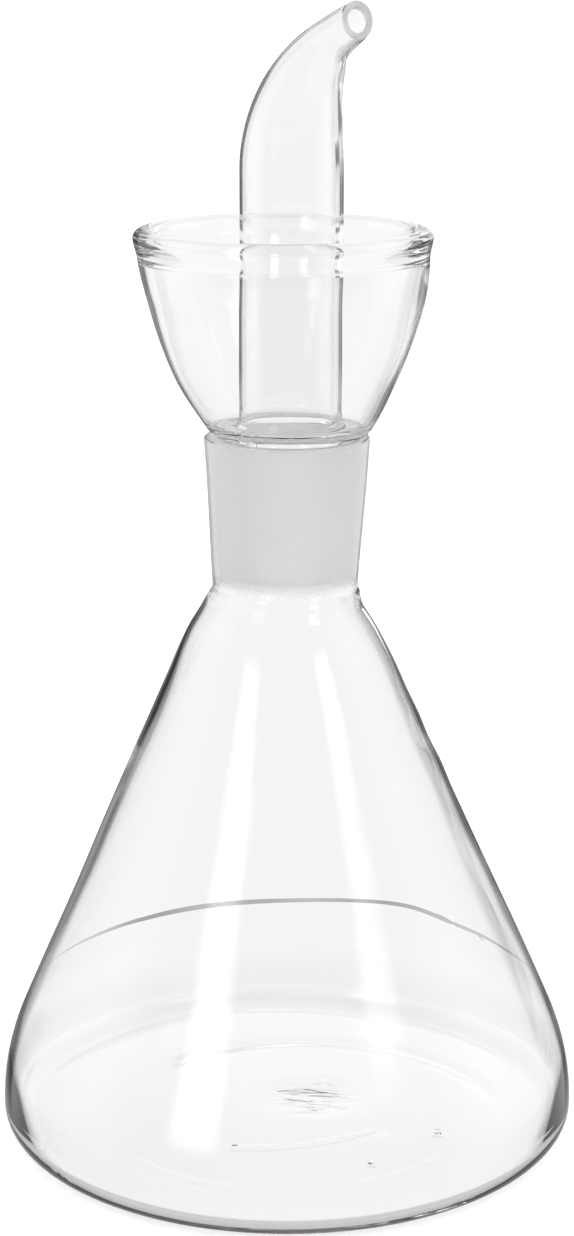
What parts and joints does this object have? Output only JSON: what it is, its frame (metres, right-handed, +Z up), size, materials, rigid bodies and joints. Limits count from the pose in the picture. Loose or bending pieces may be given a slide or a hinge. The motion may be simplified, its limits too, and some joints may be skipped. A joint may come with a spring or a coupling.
{
  "type": "oil dispenser bottle",
  "caption": "Clear glass conical oil flask with a ground neck, closed by a lift-out glass pourer with a drip cup and a bent, tapered spout.",
  "frame": {"origin": "centre of the flask's base, on the surface that it stands on", "axes": "+Z up along the flask's axis, +X the way the spout points"},
  "size_m": [0.097, 0.097, 0.1878],
  "materials": {
    "clear_glass": "clear, fire-polished, smooth",
    "ground_glass": "ground, frosted, matt"
  },
  "bodies": {
    "flask": {"flask_body": "clear_glass", "ground_socket": "ground_glass"},
    "pourer": {"ground_cone": "ground_glass", "drip_cup": "clear_glass", "pouring_spout": "clear_glass"}
  },
  "joints": [
    {"name": "pourer_lift", "type": "slide", "parent": "flask", "child": "pourer", "axis": [0, 0, 1], "range_m": [0, 0.06]}
  ]
}
